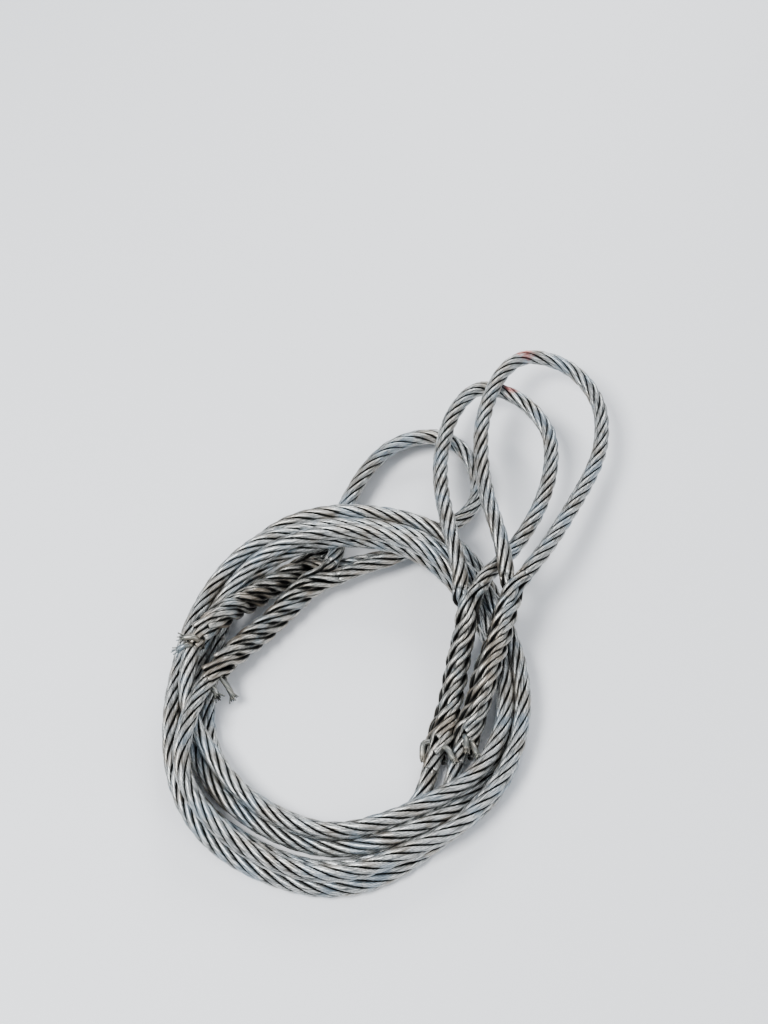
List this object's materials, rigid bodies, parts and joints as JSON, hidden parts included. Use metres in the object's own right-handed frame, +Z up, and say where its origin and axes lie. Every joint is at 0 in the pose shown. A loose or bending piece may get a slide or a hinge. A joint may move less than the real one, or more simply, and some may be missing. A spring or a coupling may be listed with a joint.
{
  "type": "wire rope sling",
  "caption": "Coiled hand-spliced steel wire rope slings with a soft eye at each end, one coil laid inside the other.",
  "frame": {"origin": "middle of the whole footprint, on the surface that the coil lies on", "axes": "+Y runs from the coil towards the eyes, +X is to the right of that seen from above, +Z is up"},
  "size_m": [0.3384, 0.4458, 0.0621],
  "materials": {
    "galvanised_rope": "weathered galvanised steel wire, lightly greased, near black between the strands",
    "spliced_strand": "darker greasy galvanised strands tucked by hand",
    "cut_wire": "bright cut wire ends over grey strand"
  },
  "bodies": {
    "slings": {"front_sling_coil": "galvanised_rope", "middle_sling_coil": "galvanised_rope", "front_splice": "spliced_strand", "front_lead": "galvanised_rope", "front_cut_end_1": "cut_wire", "front_cut_end_2": "cut_wire", "middle_splice": "spliced_strand", "middle_lead": "galvanised_rope", "middle_cut_end_1": "cut_wire", "middle_cut_end_2": "cut_wire", "back_eye": "galvanised_rope", "back_splice": "spliced_strand", "back_lead": "galvanised_rope", "back_cut_end_1": "cut_wire", "back_cut_end_2": "cut_wire", "tucked_eye": "galvanised_rope", "tucked_splice": "spliced_strand", "tucked_lead": "galvanised_rope", "tucked_cut_end_1": "cut_wire", "tucked_cut_end_2": "cut_wire"},
    "middle_eye": {"middle_eye": "galvanised_rope"},
    "front_eye": {"front_eye": "galvanised_rope"}
  },
  "joints": [
    {"name": "middle_eye_lift", "type": "hinge", "parent": "slings", "child": "middle_eye", "pos_m": [0.06757, -0.00236, 0.055], "axis": [1, 0, 0], "range_deg": [0, 40]},
    {"name": "front_eye_lift", "type": "hinge", "parent": "slings", "child": "front_eye", "pos_m": [0.06757, -0.00236, 0.055], "axis": [1, 0, 0], "range_deg": [0, 40]}
  ],
  "couplings": [
    {"joint": "front_eye_lift", "follows": "middle_eye_lift", "ratio": 1}
  ]
}
